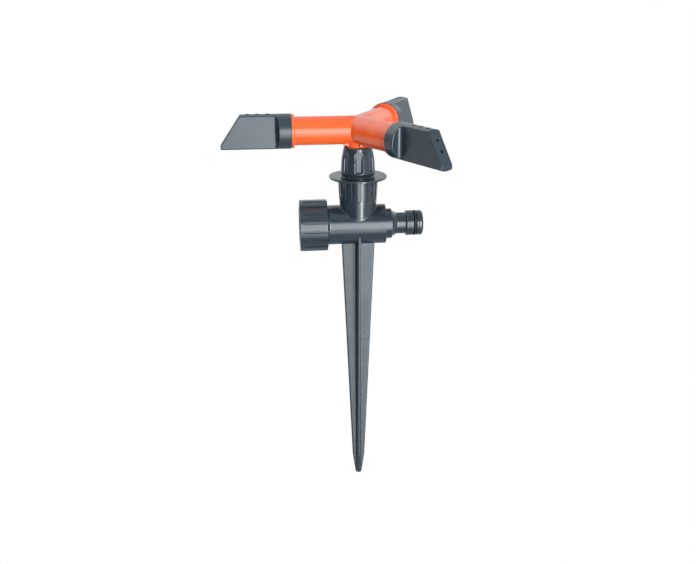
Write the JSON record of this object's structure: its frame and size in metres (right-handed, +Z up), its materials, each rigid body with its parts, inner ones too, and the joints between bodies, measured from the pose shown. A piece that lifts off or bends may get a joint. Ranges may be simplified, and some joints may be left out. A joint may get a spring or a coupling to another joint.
{
  "type": "rotary lawn sprinkler",
  "caption": "Three-arm rotary sprinkler head with tilting flat nozzle caps, on a tee with a threaded hose inlet and a quick-connect plug, over a cruciform ground spike.",
  "frame": {"origin": "the tip of the ground spike, on the rotor's axis", "axes": "+Z up along the rotor's axis; +X along the cross tube towards the hose plug, with the threaded inlet at -X; the rotor is at rest with one arm along -X"},
  "size_m": [0.1306, 0.1506, 0.2558],
  "materials": {
    "body_plastic": "semi-gloss moulded dark blue-grey plastic",
    "spike_plastic": "semi-gloss moulded dark blue-grey plastic",
    "nozzle_plastic": "fine satin moulded dark blue-grey plastic",
    "rotor_plastic": "glossy orange moulded plastic",
    "bearing_plastic": "smooth white bearing plastic",
    "seal_rubber": "matt black rubber",
    "clip_steel": "stainless spring steel",
    "screen_steel": "woven stainless wire"
  },
  "bodies": {
    "base": {"tee_body": "body_plastic", "ground_spike": "spike_plastic", "hose_plug": "body_plastic", "plug_insert_o_ring": "seal_rubber", "plug_head_o_ring": "seal_rubber", "inlet_washer": "seal_rubber", "filter_screen": "screen_steel", "bearing_housing": "body_plastic", "housing_o_ring": "seal_rubber", "spindle_seal": "seal_rubber", "lower_thrust_washer": "bearing_plastic"},
    "rotor": {"rotor_manifold": "rotor_plastic", "rotor_spindle": "bearing_plastic", "spindle_o_ring": "seal_rubber", "upper_thrust_washer": "bearing_plastic", "retaining_ring": "clip_steel", "nozzle_o_ring_1": "seal_rubber", "nozzle_o_ring_2": "seal_rubber", "nozzle_o_ring_3": "seal_rubber"},
    "nozzle_1": {"nozzle_cap_1": "nozzle_plastic"},
    "nozzle_2": {"nozzle_cap_2": "nozzle_plastic"},
    "nozzle_3": {"nozzle_cap_3": "nozzle_plastic"}
  },
  "joints": [
    {"name": "rotor_spin", "type": "hinge", "parent": "base", "child": "rotor", "pos_m": [0, 0, 0.2449], "axis": [0, 0, 1], "continuous": true},
    {"name": "nozzle_1_tilt", "type": "hinge", "parent": "rotor", "child": "nozzle_1", "pos_m": [-0.045, 0, 0.2449], "axis": [-1, 0, 0], "range_deg": [-90, 90]},
    {"name": "nozzle_2_tilt", "type": "hinge", "parent": "rotor", "child": "nozzle_2", "pos_m": [0.0225, -0.03897, 0.2449], "axis": [0.5, -0.866, 0], "range_deg": [-90, 90]},
    {"name": "nozzle_3_tilt", "type": "hinge", "parent": "rotor", "child": "nozzle_3", "pos_m": [0.0225, 0.03897, 0.2449], "axis": [0.5, 0.866, 0], "range_deg": [-90, 90]}
  ]
}
